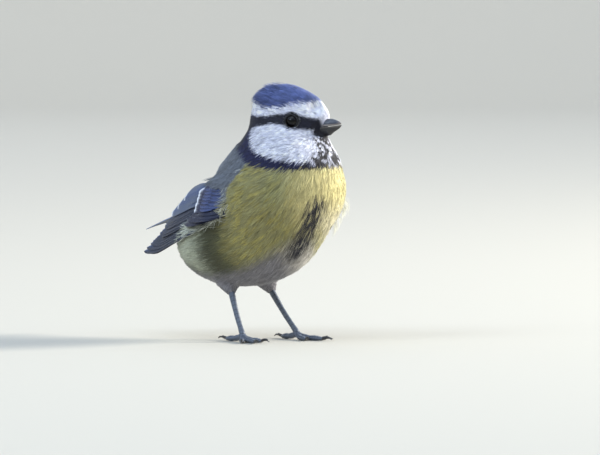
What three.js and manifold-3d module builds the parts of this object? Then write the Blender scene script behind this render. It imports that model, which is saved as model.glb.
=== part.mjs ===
// A life-size blue tit in winter plumage: it stands on both feet, wings a little drooped, its head turned to
// its left.
// Millimetres. The body faces +X, its left side is +Y, up is +Z, and the soles stand on z = 0.
import * as THREE from "three";
import { mergeVertices } from "three/addons/utils/BufferGeometryUtils.js";
import Module from "manifold-3d";

const wasm = await Module();
wasm.setup();

// Driving dimensions
const GAP = 0.3; // the air that neighbouring pieces keep between them
const BLEND = 5; // how softly one lump of plumage runs into the next
const HEAD_BLEND = 4;
const HEAD = { centre: [15.8, 2.2, 71], turnLeft: 25, tiltUp: 4 };
const EYE = { x: 3.9, y: 6.15, z: -0.2, radius: 2.2, lidOpening: 1.8, lidThick: 0.42 };
const BILL = {
  seam: 0.1,
  rootX: 7.5,
  baseX: 11.6,
  tipX: 18.2,
  tipZ: -2.2,
  mouthZ: -2.6,
  halfWidth: 2.35,
  upper: 3.1,
  lower: 2.8,
};
const LEG = {
  knee: [-7.5, 7.4, 21],
  heel: [-3.6, 7.9, 15.2],
  ankle: [6.4, 10.6, 2.6],
  heelThick: 1.15,
  shankThick: 0.9,
};
const TOES = [
  { name: "hind", aim: 178, length: 8.4, thick: 0.98, claw: 4.6 },
  { name: "inner", aim: -14, length: 8.2, thick: 0.86, claw: 3.5 },
  { name: "middle", aim: 14, length: 11, thick: 0.9, claw: 3.8 },
  { name: "outer", aim: 36, length: 8.8, thick: 0.84, claw: 3.3 },
];
const SOLE = 0.34; // how much of each toe's underside the floor flattens

// The folded wing lies on a leaning sheet: at each x, how far out its middle is and how high.
const WING = {
  x: [-56, -40, -25, -10, 2, 14],
  out: [7.2, 9.2, 13.2, 16.6, 18, 16.6],
  middle: [28, 33, 39.5, 44, 46.5, 48],
  lean: 0.42,
  rootDip: 2.6, // how far the roots sink into the plumage they grow from
};
// Feathers in a row, first the one nearest the back: root and tip as [x, z] on the wing's sheet. A row's
// feathers are spaced evenly between its first and its last; roll raises each one's lower edge over the next.
const WING_ROWS = [
  { count: 6, root: [[-3, 42], [0, 38.8]], tip: [[-45, 32.2], [-53.5, 27]], width: 3.6, roll: 14, lift: 0.1 },
  { count: 1, root: [[1, 38.4], [1, 38.4]], tip: [[-49, 26.6], [-49, 26.6]], width: 2.8, roll: 14, lift: 0 },
  { count: 5, root: [[-2, 46.5], [-1, 42.8]], tip: [[-38, 38.4], [-43.5, 33.2]], width: 4.6, roll: 14, lift: 0.5 },
  { count: 3, root: [[-4, 49.5], [-2, 47.5]], tip: [[-25, 45.2], [-36.5, 40.2]], width: 5.6, roll: 10, lift: 1.1 },
  { count: 3, root: [[4, 42.8], [5, 40]], tip: [[-9.5, 41], [-13, 38]], width: 3, roll: 14, lift: 1 },
  { count: 6, root: [[4, 50.6], [4, 44]], tip: [[-8.7, 47.8], [-7.5, 42.4]], width: 3, roll: 14, lift: 1.6 },
  { count: 1, root: [[10, 42], [10, 42]], tip: [[-6, 40.6], [-6, 40.6]], width: 3, roll: 14, lift: 1.7 },
  { count: 4, root: [[14, 51.6], [11, 45]], tip: [[-3.5, 49.4], [-2.5, 43.4]], width: 4.4, roll: 12, lift: 2.3 },
];
const WING_VANE = 0.55; // thickness of a feather's vane
const WING_PAD = { at: [-1, 14, 45], half: [14, 3.4, 5.4], tilt: 10 };

const TAIL = {
  pairs: 6,
  root: [-20, 0.5, 45],
  tip: [-54.5, 1.3, 35.6],
  width: 5.2,
  rootSpread: 0.35,
  tipSpread: 0.85,
  step: 0.34, // each pair lies this much lower than the one above it
  notch: 2.2, // how much longer the outer pairs are than the central one
  vane: 0.55,
};

// The plumage's outer surface is a soft union of these lumps; tilt lifts the front.
const BODY_LUMPS = [
  { at: [-5.2, 0, 33], half: [30, 20, 16.4], tilt: 8 },
  { at: [12.5, 0, 46.5], half: [23.5, 21, 17.5], tilt: 24 },
  { at: [-0.8, 0, 51.8], half: [22, 13, 11], tilt: 36 },
  { at: [-22, 0, 41], half: [19, 9, 8], tilt: 14 },
  { at: [14.5, 1, 58.5], half: [17.5, 15.5, 11], tilt: 0 },
];
const HEAD_LUMPS = [
  { at: [-2.4, 0, 1], half: [12.4, 8, 11.4], tilt: 0 },
  { at: [-2.4, 4.6, -4.8], half: [8.6, 5.2, 6.2], tilt: 0 },
  { at: [-2.4, -4.6, -4.8], half: [8.6, 5.2, 6.2], tilt: 0 },
  { at: [6.8, 0, 0.4], half: [7, 4.8, 7.4], tilt: -14 },
];

const degrees = THREE.MathUtils.degToRad;
const V = (x, y, z) => new THREE.Vector3(x, y, z);

// Solids and meshes
function closedGeometry(positions, triangles) {
  const geometry = new THREE.BufferGeometry();
  geometry.setAttribute("position", new THREE.Float32BufferAttribute(positions, 3));
  geometry.setIndex(triangles);
  return geometry;
}

function solid(geometry) {
  const bare = geometry.clone();
  bare.deleteAttribute("normal");
  bare.deleteAttribute("uv");
  const merged = mergeVertices(bare, 1e-4);
  const vertProperties = new Float32Array(merged.attributes.position.array);
  const triVerts = new Uint32Array(merged.index.array);
  return new wasm.Manifold(new wasm.Mesh({ numProp: 3, vertProperties, triVerts }));
}

function geometryOf(body) {
  const mesh = body.getMesh();
  const positions = [];
  for (let i = 0; i < mesh.numVert; i++) {
    const at = i * mesh.numProp;
    positions.push(mesh.vertProperties[at], mesh.vertProperties[at + 1], mesh.vertProperties[at + 2]);
  }
  return closedGeometry(positions, Array.from(mesh.triVerts));
}

const join = (pieces) => pieces.reduce((whole, piece) => whole.add(piece));
const largest = (body) => body.decompose().reduce((a, b) => (b.volume() > a.volume() ? b : a));

// Skins a row of rings, each the same number of points, and closes both ends with a fan.
// flip names the strips whose quads are cut along the other diagonal, so that a thin plate's two faces match.
function loft(rings, flip = () => false) {
  const n = rings[0].length;
  const positions = rings.flat().flatMap((p) => [p.x, p.y, p.z]);
  const triangles = [];
  for (let i = 0; i + 1 < rings.length; i++) {
    for (let k = 0; k < n; k++) {
      const a = i * n + k;
      const b = i * n + ((k + 1) % n);
      const [c, d] = [a + n, b + n];
      if (flip(k)) triangles.push(a, b, c, b, d, c);
      else triangles.push(a, b, d, a, d, c);
    }
  }
  const last = (rings.length - 1) * n;
  for (let k = 1; k + 1 < n; k++) {
    triangles.push(0, k + 1, k);
    triangles.push(last, last + k, last + k + 1);
  }
  return solid(closedGeometry(positions, facingOut(positions, triangles)));
}

// Turns every triangle over when together they enclose a negative volume.
function facingOut(positions, triangles) {
  const corner = (i) => V(...positions.slice(3 * triangles[i], 3 * triangles[i] + 3));
  let volume = 0;
  for (let i = 0; i < triangles.length; i += 3) volume += corner(i).dot(corner(i + 1).cross(corner(i + 2)));
  return volume < 0 ? triangles.slice().reverse() : triangles;
}

// A round or oval tube through points, with a radius at each and a stretch along the side axis.
function tube(points, radii, sides, stretch = 1, side = V(0, 1, 0)) {
  const curve = new THREE.CatmullRomCurve3(points, false, "centripetal");
  const steps = radii.length - 1;
  const rings = radii.map((radius, i) => {
    const t = i / steps;
    const centre = curve.getPoint(t);
    const along = curve.getTangent(t);
    const across = side.clone().addScaledVector(along, -side.dot(along)).normalize();
    const up = along.clone().cross(across);
    return Array.from({ length: sides }, (_, k) => {
      const angle = (2 * Math.PI * k) / sides;
      return centre
        .clone()
        .addScaledVector(across, radius * stretch * Math.cos(angle))
        .addScaledVector(up, radius * Math.sin(angle));
    });
  });
  return loft(rings);
}

// The plumage's outer surface
function placed(lump, frame = new THREE.Matrix4()) {
  const turn = new THREE.Matrix4().makeRotationY(-degrees(lump.tilt));
  const put = new THREE.Matrix4().makeTranslation(...lump.at).multiply(turn);
  return { inverse: frame.clone().multiply(put).invert(), half: V(...lump.half) };
}

const headFrame = new THREE.Matrix4()
  .makeTranslation(...HEAD.centre)
  .multiply(new THREE.Matrix4().makeRotationZ(degrees(HEAD.turnLeft)))
  .multiply(new THREE.Matrix4().makeRotationY(-degrees(HEAD.tiltUp)));
const inHead = (x, y, z) => V(x, y, z).applyMatrix4(headFrame);
const bodyLumps = BODY_LUMPS.map((l) => placed(l));
const headLumps = HEAD_LUMPS.map((l) => placed(l, headFrame));

function lumpDistance(point, lump) {
  const p = point.clone().applyMatrix4(lump.inverse).divide(lump.half);
  const scaled = p.length();
  const slope = p.divide(lump.half).length();
  return slope > 1e-9 ? (scaled * (scaled - 1)) / slope : -Math.min(...lump.half.toArray());
}

function softMin(a, b, blend) {
  const h = Math.max(blend - Math.abs(a - b), 0) / blend;
  return Math.min(a, b) - (h * h * blend) / 4;
}

function plumage(point) {
  const nearest = (group, blend) => {
    const depths = group.map((l) => lumpDistance(point, l));
    return depths.reduce((a, b) => softMin(a, b, blend));
  };
  return softMin(nearest(bodyLumps, BLEND), nearest(headLumps, HEAD_BLEND), BLEND);
}

// The plumage as a closed mesh seen from an inner point, swelled a few tenths where it has to cut a neighbour.
function plumageFrom(centre, detail, swell = 0) {
  const ball = new THREE.IcosahedronGeometry(1, detail);
  ball.deleteAttribute("normal");
  ball.deleteAttribute("uv");
  const skin = mergeVertices(ball, 1e-4);
  const spots = skin.attributes.position;
  for (let i = 0; i < spots.count; i++) {
    const ray = V(0, 0, 0).fromBufferAttribute(spots, i).normalize();
    let reach = 1;
    let depth = plumage(centre.clone().addScaledVector(ray, reach)) - swell;
    for (let tries = 0; tries < 90 && depth < -1e-3; tries++) {
      reach += Math.max(0.6 * -depth, 1e-3);
      depth = plumage(centre.clone().addScaledVector(ray, reach)) - swell;
    }
    const p = centre.clone().addScaledVector(ray, reach);
    spots.setXYZ(i, p.x, p.y, p.z);
  }
  return solid(skin);
}

// All that lies on the far side of a plane, as a large box
function beyond(point, normal) {
  const size = 240;
  const box = new THREE.BoxGeometry(size, size, size).translate(0, 0, size / 2);
  const turn = new THREE.Quaternion().setFromUnitVectors(V(0, 0, 1), normal.clone().normalize());
  box.applyQuaternion(turn).translate(point.x, point.y, point.z);
  return solid(box);
}

const COLLAR = { at: V(16, 1.5, 63.2), normal: V(0.24, 0.06, 1) };
const NECK_BASE = { at: V(12, 0.5, 57), normal: V(0.2, 0, 1) };
const above = (cut, lift) => beyond(cut.at.clone().addScaledVector(cut.normal, lift), cut.normal);
const below = (cut, drop) => {
  const point = cut.at.clone().addScaledVector(cut.normal, -drop);
  return beyond(point, cut.normal.clone().negate());
};

const BODY_CENTRE = V(0, 0, 40);
const wholeBody = plumageFrom(BODY_CENTRE, 10);
const wholeNeck = plumageFrom(V(14, 1, 60), 9);
const wholeHead = plumageFrom(V(...HEAD.centre), 9);

// Eyes, with the lids as a raised ring
function ball(centre, radius, detail) {
  return solid(new THREE.IcosahedronGeometry(radius, detail).translate(centre.x, centre.y, centre.z));
}

const sides = [
  { name: "left", sign: 1 },
  { name: "right", sign: -1 },
];
const eyeCentre = (sign) => inHead(EYE.x, sign * EYE.y, EYE.z);
const eyeAxis = (sign) => V(0.16, sign, 0.04).transformDirection(headFrame);

function lids(sign) {
  const outward = Math.sqrt(EYE.radius ** 2 - EYE.lidOpening ** 2);
  const ring = new THREE.TorusGeometry(EYE.lidOpening + EYE.lidThick * 0.7, EYE.lidThick, 5, 16);
  ring.applyQuaternion(new THREE.Quaternion().setFromUnitVectors(V(0, 0, 1), eyeAxis(sign)));
  const at = eyeCentre(sign).addScaledVector(eyeAxis(sign), outward);
  return solid(ring.translate(at.x, at.y, at.z));
}

// Bill: two mandibles that meet along the mouth line
function mandible(height, widthShare) {
  const stations = [
    [BILL.rootX, 1, 1],
    [BILL.baseX, 1, 1],
    [BILL.baseX + 2.4, 0.8, 0.84],
    [BILL.baseX + 4.4, 0.52, 0.6],
    [BILL.baseX + 5.8, 0.26, 0.36],
    [BILL.tipX, 0.09, 0.12],
  ];
  const rings = stations.map(([x, wide, tall]) => {
    const along = (x - BILL.baseX) / (BILL.tipX - BILL.baseX);
    const mouth = THREE.MathUtils.lerp(BILL.mouthZ, BILL.tipZ, Math.max(along, 0) ** 1.5);
    const seam = BILL.seam * Math.sign(height);
    return Array.from({ length: 9 }, (_, k) => {
      const angle = (Math.PI * k) / 8;
      const y = BILL.halfWidth * widthShare * wide * Math.cos(angle);
      const z = mouth + seam + height * tall * Math.sin(angle) ** 0.8;
      return inHead(x, y, z);
    });
  });
  return loft(rings);
}

function nostril(sign) {
  const pit = new THREE.SphereGeometry(0.5, 10, 8).scale(1.5, 1, 0.9);
  pit.translate(BILL.baseX + 1.3, sign * 1.75, BILL.mouthZ + 1.9);
  return solid(pit.applyMatrix4(headFrame));
}

// Legs
const onSide = (point, sign) => V(point[0], sign * point[1], point[2]);

function shank(sign) {
  const [heel, ankle] = [onSide(LEG.heel, sign), onSide(LEG.ankle, sign)];
  const bow = heel.clone().lerp(ankle, 0.5).add(V(-0.25, 0, -0.2));
  const radii = [LEG.heelThick, 1.02, LEG.shankThick, LEG.shankThick, 0.86, 1.05];
  return tube([heel, bow, ankle], radii, 10, 0.82, V(0, 1, 0));
}

// The room that foot and thigh leave around the ends of the shank
function shankClearance(sign) {
  const [heel, ankle] = [onSide(LEG.heel, sign), onSide(LEG.ankle, sign)];
  const down = ankle.clone().sub(heel).normalize();
  const [top, end] = [heel.addScaledVector(down, -GAP), ankle.addScaledVector(down, GAP)];
  const room = LEG.heelThick + GAP;
  return tube([top, end], [room, room, room], 12);
}

function thigh(sign) {
  const [knee, heel] = [onSide(LEG.knee, sign), onSide(LEG.heel, sign)];
  const end = heel.clone().lerp(knee, -0.1);
  return tube([knee, knee.clone().lerp(end, 0.5), end], [5.4, 4.6, 3.1, 1.95], 14);
}

function toe(sign, { aim, length, thick }) {
  const ankle = onSide(LEG.ankle, sign);
  const angle = degrees(aim);
  const way = V(Math.cos(angle), sign * Math.sin(angle), 0);
  const level = thick - SOLE;
  const root = V(ankle.x, ankle.y, 2.1);
  const points = [root, ...[0.28, 0.52, 0.78, 1].map((share, i) => {
    const arch = [0.55, 0.25, 0.2, 0][i];
    return V(root.x, root.y, level + arch).addScaledVector(way, length * share);
  })];
  const radii = [0.95, 0.9, 1.05, 0.86, 1.05, 0.84, 0.6].map((swell) => swell * thick);
  return tube(points, radii, 6, 1, V(-way.y, way.x, 0));
}

function claw(sign, { aim, length, thick, claw: reach }) {
  const ankle = onSide(LEG.ankle, sign);
  const angle = degrees(aim);
  const way = V(Math.cos(angle), sign * Math.sin(angle), 0);
  const from = V(ankle.x, ankle.y, thick - SOLE).addScaledVector(way, length + GAP + 0.16);
  const arc = (share, lift) => from.clone().addScaledVector(way, reach * share).add(V(0, 0, lift));
  const points = [from, arc(0.36, 0.62), arc(0.72, 0.5), arc(0.98, -0.12)];
  return tube(points, [0.56, 0.5, 0.32, 0.1], 6, 0.75, V(-way.y, way.x, 0));
}

// Wings and tail. A vane is a thin plate with matching faces: each station is [share, width, depth].
const VANE_STATIONS = [
  [0, 0.6, 1],
  [0.4, 1, 1],
  [0.86, 0.84, 0.9],
  [1, 0.28, 0.55],
];

function vane(centreAt, normalAt, { width, thick, roll }) {
  const rings = VANE_STATIONS.map(([share, wide, deep]) => {
    const centre = centreAt(share);
    const along = centreAt(share + 0.01).sub(centreAt(share - 0.01)).normalize();
    const normal = normalAt(share).applyAxisAngle(along, degrees(roll));
    const across = along.clone().cross(normal).normalize();
    const up = across.clone().cross(along);
    const [a, b] = [(width / 2) * wide, (thick / 2) * deep];
    return [[a, b], [-a, b], [-a, -b], [a, -b]].map(([w, t]) =>
      centre.clone().addScaledVector(across, w).addScaledVector(up, t),
    );
  });
  return loft(rings, (k) => k === 2);
}

function between(xs, values, x) {
  let i = 0;
  while (i + 2 < xs.length && x > xs[i + 1]) i++;
  return THREE.MathUtils.mapLinear(x, xs[i], xs[i + 1], values[i], values[i + 1]);
}

function onWing(x, z, lift, sign) {
  const out = between(WING.x, WING.out, x) + WING.lean * (between(WING.x, WING.middle, x) - z);
  return V(x, sign * (out + lift), z);
}

function wing(sign) {
  const pieces = [];
  for (const row of WING_ROWS) {
    for (let i = 0; i < row.count; i++) {
      const part = row.count > 1 ? i / (row.count - 1) : 0;
      const pick = ([first, last]) => new THREE.Vector2(...first).lerp(new THREE.Vector2(...last), part);
      const [root, tip] = [pick(row.root), pick(row.tip)];
      const centreAt = (share) => {
        const p = root.clone().lerp(tip, share);
        const dip = WING.rootDip * Math.max(1 - share / 0.4, 0) ** 2;
        return onWing(p.x, p.y, row.lift - dip, sign);
      };
      const normalAt = () => V(0.12, sign, WING.lean).normalize();
      pieces.push(vane(centreAt, normalAt, { width: row.width, thick: WING_VANE, roll: -sign * row.roll }));
    }
  }
  return join(pieces);
}

function wingPad(sign) {
  const { at, half, tilt } = WING_PAD;
  const pad = new THREE.IcosahedronGeometry(1, 5).scale(...half);
  pad.rotateY(-degrees(tilt)).rotateZ(-sign * degrees(8)).translate(at[0], sign * at[1], at[2]);
  return solid(pad);
}

function tail() {
  const pieces = [];
  for (let pair = TAIL.pairs - 1; pair >= 0; pair--) {
    for (const { sign } of sides) {
      const drop = -pair * TAIL.step;
      const longer = -(TAIL.notch * pair) / (TAIL.pairs - 1);
      const root = V(TAIL.root[0], sign * (TAIL.root[1] + pair * TAIL.rootSpread), TAIL.root[2] + drop * 0.6);
      const tip = V(TAIL.tip[0] + longer, sign * (TAIL.tip[1] + pair * TAIL.tipSpread), TAIL.tip[2] + drop);
      const centreAt = (share) => root.clone().lerp(tip, share).add(V(0, 0, 0.9 * Math.sin(Math.PI * share)));
      const tilt = sign * (5 + pair * 1.5);
      const normalAt = () => V(-0.25, 0, 1).normalize();
      pieces.push(vane(centreAt, normalAt, { width: TAIL.width, thick: TAIL.vane, roll: tilt }));
    }
  }
  return join(pieces);
}

// Assembly
const bird = new THREE.Group();
const paint = (color, roughness) => new THREE.MeshStandardMaterial({ color, roughness, metalness: 0 });
const finishes = {
  crown: paint("#5f6fa8", 0.85),
  collar: paint("#262a48", 0.85),
  body: paint("#b9b455", 0.9),
  wing: paint("#43567f", 0.7),
  tail: paint("#4c5d80", 0.7),
  leg: paint("#5b6678", 0.55),
  claw: paint("#2c2b2e", 0.35),
  bill: paint("#2a2a30", 0.35),
  eye: paint("#0c0908", 0.05),
  thigh: paint("#8d8a72", 0.9),
};

function add(name, body, finish) {
  const mesh = new THREE.Mesh(geometryOf(largest(body)), finishes[finish]);
  mesh.name = name;
  bird.add(mesh);
}

const swollenBody = plumageFrom(BODY_CENTRE, 10, GAP);
const swollenHead = plumageFrom(V(...HEAD.centre), 9, GAP);

let head = wholeHead.intersect(above(COLLAR, GAP / 2));
const upperBill = mandible(BILL.upper, 1);
const lowerBill = mandible(-BILL.lower, 0.94);
for (const { sign } of sides) {
  head = head.add(lids(sign)).subtract(ball(eyeCentre(sign), EYE.radius + GAP, 3));
}
add("head", head, "crown");
add("neck", wholeNeck.intersect(below(COLLAR, GAP / 2)).intersect(above(NECK_BASE, GAP / 2)), "collar");
add("torso", wholeBody.intersect(below(NECK_BASE, GAP / 2)), "body");

const nostrils = join(sides.map(({ sign }) => nostril(sign)));
add("bill_upper", upperBill.subtract(swollenHead).subtract(nostrils), "bill");
add("bill_lower", lowerBill.subtract(swollenHead), "bill");

add("tail", tail().subtract(swollenBody), "tail");
const floor = below({ at: V(0, 0, 0), normal: V(0, 0, 1) }, 0);
for (const { name, sign } of sides) {
  add(`wing_${name}`, join([wingPad(sign), wing(sign)]).subtract(swollenBody), "wing");
  add(`eye_${name}`, ball(eyeCentre(sign), EYE.radius, 3), "eye");
  const knuckles = ball(onSide(LEG.ankle, sign).setZ(2.0), 1.25, 2);
  const foot = join([knuckles, ...TOES.map((t) => toe(sign, t))]).subtract(floor);
  const leg = shank(sign);
  add(`foot_${name}`, foot.subtract(shankClearance(sign)), "leg");
  add(`shank_${name}`, leg, "leg");
  add(`thigh_${name}`, thigh(sign).subtract(swollenBody).subtract(shankClearance(sign)), "thigh");
  for (const t of TOES) add(`claw_${name}_${t.name}`, claw(sign, t), "claw");
}

// The row's origin is the middle of the bird's bounding box, on the floor.
const box = new THREE.Box3().setFromObject(bird);
const middle = box.getCenter(V(0, 0, 0));
for (const mesh of bird.children) mesh.geometry.translate(-middle.x, -middle.y, -box.min.z);

export default bird;
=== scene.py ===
# %% [markdown]
# A blue tit, life size. The solids of the bird are loaded as a fixed frame, in metres, and this lesson
# dresses them: one soft skin over the flesh, a coat of small solid tufts that follows the lie of the
# plumage, long flight and tail feathers made one by one, and horn, scale and wet-eye finishes on the rest.

# %% Load the frame
import math

import bpy
import numpy as np
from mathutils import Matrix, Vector
from mathutils.bvhtree import BVHTree
from mathutils.kdtree import KDTree


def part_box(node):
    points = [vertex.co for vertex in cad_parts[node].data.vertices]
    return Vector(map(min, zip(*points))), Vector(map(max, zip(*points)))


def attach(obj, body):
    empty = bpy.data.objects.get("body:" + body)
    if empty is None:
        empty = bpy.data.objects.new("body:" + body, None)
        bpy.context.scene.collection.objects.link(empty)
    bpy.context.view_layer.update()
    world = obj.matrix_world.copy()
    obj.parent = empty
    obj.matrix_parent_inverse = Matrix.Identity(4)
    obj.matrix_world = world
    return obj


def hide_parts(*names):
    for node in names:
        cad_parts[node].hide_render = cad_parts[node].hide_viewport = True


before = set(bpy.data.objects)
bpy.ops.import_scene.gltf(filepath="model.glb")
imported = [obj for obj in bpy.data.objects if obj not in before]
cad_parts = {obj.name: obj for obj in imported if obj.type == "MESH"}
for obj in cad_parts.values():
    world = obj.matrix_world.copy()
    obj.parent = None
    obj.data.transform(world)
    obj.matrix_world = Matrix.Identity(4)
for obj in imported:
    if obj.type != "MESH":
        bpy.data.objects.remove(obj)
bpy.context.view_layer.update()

MM = 0.001
rng = np.random.default_rng(7)

# %% [markdown]
# Plumage is easiest to describe in millimetres from the bird's own middle, and the head from its own
# centre, because the head is turned and its cap, eyestripe and cheek turn with it. Both eyes are solids
# with known places, so the point midway between them fixes where this bird stands in the row's frame.


# %% The bird's frame and the head's frame
def turned(yaw, pitch):
    """Axes (columns) of a frame turned to the left by yaw and lifted at the front by pitch, in degrees."""
    a, b = math.radians(yaw), math.radians(pitch)
    lift = np.array([[math.cos(b), 0, -math.sin(b)], [0, 1, 0], [math.sin(b), 0, math.cos(b)]])
    turn = np.array([[math.cos(a), -math.sin(a), 0], [math.sin(a), math.cos(a), 0], [0, 0, 1]])
    return turn @ lift


HEAD_CENTRE = np.array([15.8, 2.2, 71.0])
HEAD_AXES = turned(25, 4)
EYE_IN_HEAD = np.array([3.9, 6.15, -0.2])


def middle_of(node):
    low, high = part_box(node)
    return (np.array(low) + np.array(high)) / 2 / MM


between_eyes = (middle_of("eye_left") + middle_of("eye_right")) / 2
SHIFT = between_eyes - (HEAD_CENTRE + HEAD_AXES @ (EYE_IN_HEAD * [1, 0, 1]))
print("the bird's frame is shifted by", SHIFT.round(3), "mm")


def from_head(points):
    """Points of the head's frame, in the bird's frame."""
    return HEAD_CENTRE + np.asarray(points, float) @ HEAD_AXES.T


def to_head(points):
    return (np.asarray(points, float) - HEAD_CENTRE) @ HEAD_AXES


def metres(points):
    """Points of the bird's frame, in millimetres, as places in the row's frame."""
    return (np.asarray(points, float) + SHIFT) * MM


# %% [markdown]
# Everything is seen from the bird's front right with a long lens, so that near and far legs look the same
# size. The floor is a wide dish of paper whose edge curves up, so it has no horizon line from any side. A
# low warm light from the right, a little behind, rims the breast and the cheek. Blue light from above and
# from the left fills the shade, and the eye mirrors the left one as its highlight. The last lamp lights the
# wall behind.

# %% Camera
VIEW_AZIMUTH, VIEW_ELEVATION, VIEW_DISTANCE = math.radians(55), math.radians(2.5), 2150.5
VIEW_RIGHT = np.array([math.cos(VIEW_AZIMUTH), math.sin(VIEW_AZIMUTH), 0])
VIEW_OUT = np.array([math.sin(VIEW_AZIMUTH), -math.cos(VIEW_AZIMUTH), 0])
VIEW_TARGET = VIEW_RIGHT * 13.5 + np.array([0, 0, 36.3])


def look_at(obj, place, target):
    obj.location = Vector(metres(place))
    aim = Vector(metres(target)) - obj.location
    obj.rotation_euler = aim.to_track_quat("-Z", "Y").to_euler()


bpy.ops.object.camera_add()
camera = bpy.context.object
camera.name = "camera"
camera.data.lens = 400
camera.data.sensor_width = 36
camera.data.clip_end = 20
out = VIEW_OUT * math.cos(VIEW_ELEVATION) + np.array([0, 0, math.sin(VIEW_ELEVATION)])
look_at(camera, VIEW_TARGET + out * VIEW_DISTANCE, VIEW_TARGET)
bpy.context.scene.camera = camera
bpy.context.scene.view_settings.view_transform = "Standard"
print("camera", [round(v, 3) for v in camera.location])


# %% Colours and material nodes
def linear(hex_colour):
    """An sRGB hex colour as linear red, green and blue."""
    value = np.array([int(hex_colour[i : i + 2], 16) / 255 for i in (1, 3, 5)])
    return np.where(value <= 0.04045, value / 12.92, ((value + 0.055) / 1.055) ** 2.4)


def node(tree, kind, settings=None, **links):
    """Adds a node, sets its own settings and input values, and links sockets given as (node, output)."""
    made = tree.nodes.new(kind)
    for key, value in (settings or {}).items():
        if isinstance(key, str) and hasattr(made, key):
            setattr(made, key, value)
        else:
            made.inputs[key].default_value = value
    for name, (source, output) in links.items():
        socket = made.inputs[int(name[1:])] if name[0] == "_" else made.inputs[name.replace("_", " ")]
        tree.links.new(source.outputs[output], socket)
    return made


def new_material(name, **values):
    """A material with a Principled shader; values are socket names with _ for a space."""
    material = bpy.data.materials.new(name)
    material.use_nodes = True
    shader = material.node_tree.nodes["Principled BSDF"]
    for key, value in values.items():
        if isinstance(value, str):
            value = (*linear(value), 1)
        shader.inputs[key.replace("_", " ")].default_value = value
    return material, material.node_tree, shader


def painted_material(name, **values):
    """A material that takes its base colour from the mesh's own colours."""
    material, tree, shader = new_material(name, **values)
    colour = node(tree, "ShaderNodeVertexColor", {"layer_name": "plumage"})
    tree.links.new(colour.outputs["Color"], shader.inputs["Base Color"])
    return material, tree, shader


def bump(tree, shader, height, strength, distance):
    """Raises the surface by a socket, given as (node, output), up to a distance in metres."""
    raised = node(tree, "ShaderNodeBump", {"Strength": strength, "Distance": distance}, Height=height)
    tree.links.new(raised.outputs["Normal"], shader.inputs["Normal"])


def grain(tree, shader, kind, output, settings, strength, distance):
    """Bumps the surface by a texture whose scale is in features a metre."""
    spot = node(tree, "ShaderNodeTexCoord")
    texture = node(tree, kind, settings, Vector=(spot, "Object"))
    bump(tree, shader, (texture, output), strength, distance)


# %% Meshes
def only(*objects):
    """Selects these objects alone, with the first one active."""
    bpy.ops.object.select_all(action="DESELECT")
    for obj in objects:
        obj.select_set(True)
    bpy.context.view_layer.objects.active = objects[0]


def add_object(name, mesh):
    obj = bpy.data.objects.new(name, mesh)
    bpy.context.scene.collection.objects.link(obj)
    return obj


def edit_all(operator, **settings):
    """Runs one edit-mode operator on the whole active mesh."""
    bpy.ops.object.mode_set(mode="EDIT")
    bpy.ops.mesh.select_all(action="SELECT")
    operator(**settings)
    bpy.ops.object.mode_set(mode="OBJECT")


def own_places(obj):
    """The vertices' places as the mesh holds them, in metres."""
    places = np.empty(len(obj.data.vertices) * 3)
    obj.data.vertices.foreach_get("co", places)
    return places.reshape(-1, 3)


def vertex_arrays(obj):
    """The vertices' places in the bird's frame, and their normals."""
    normals = np.empty(len(obj.data.vertices) * 3)
    obj.data.vertices.foreach_get("normal", normals)
    return own_places(obj) / MM - SHIFT, normals.reshape(-1, 3)


def set_colours(mesh, rgb):
    layer = mesh.color_attributes.new("plumage", "FLOAT_COLOR", "POINT")
    layer.data.foreach_set("color", np.column_stack([rgb, np.ones(len(rgb))]).astype(np.float32).ravel())


def lengths(vectors):
    return np.linalg.norm(vectors, axis=-1)


def unit(vectors):
    return vectors / np.maximum(np.linalg.norm(vectors, axis=-1, keepdims=True), 1e-9)


# %% Floor, backdrop and lights
def studio_dish():
    """A round floor whose edge curves up to a wall, so that every side has the same plain backdrop."""
    floor_radius, bend, wall = 2900, 900, 700
    turn = np.linspace(0, math.pi / 2, 13)
    radii = np.concatenate([[0, 300, 900, 1800], floor_radius + bend * np.sin(turn), [floor_radius + bend]])
    heights = np.concatenate([np.zeros(4), bend * (1 - np.cos(turn)), [bend + wall]])
    bpy.ops.mesh.primitive_grid_add(x_subdivisions=96, y_subdivisions=len(radii) - 1, size=2)
    dish = bpy.context.object
    dish.name = "studio_floor"
    places = own_places(dish)
    angle = places[:, 0] * math.pi
    ring = (places[:, 1] + 1) / 2 * (len(radii) - 1)
    radius, height = (np.interp(ring, range(len(radii)), levels) for levels in (radii, heights))
    around = np.column_stack([radius * np.cos(angle), -radius * np.sin(angle), height])
    dish.data.vertices.foreach_set("co", metres(around).ravel())
    edit_all(bpy.ops.mesh.remove_doubles, threshold=1e-5)
    edit_all(bpy.ops.mesh.normals_make_consistent, inside=True)
    bpy.ops.object.shade_smooth()
    # Paper a little warm, because the light of the sky that fills the shade is blue.
    material, _, _ = new_material("seamless_paper", Base_Color="#c9c4b8", Roughness=0.9)
    dish.data.materials.append(material)
    up = [round(v, 2) for v in dish.data.polygons[0].normal]
    print("floor's normal:", up, len(dish.data.polygons), "faces")
    return dish


def area_light(name, place, size, power, colour, target=VIEW_TARGET):
    bpy.ops.object.light_add(type="AREA")
    lamp = bpy.context.object
    lamp.name = name
    lamp.data.shape = "DISK"
    lamp.data.size = size
    lamp.data.energy = power
    lamp.data.color = colour
    right, forward, up = place
    look_at(lamp, VIEW_TARGET + VIEW_RIGHT * right + VIEW_OUT * forward + np.array([0, 0, up]), target)


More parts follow.
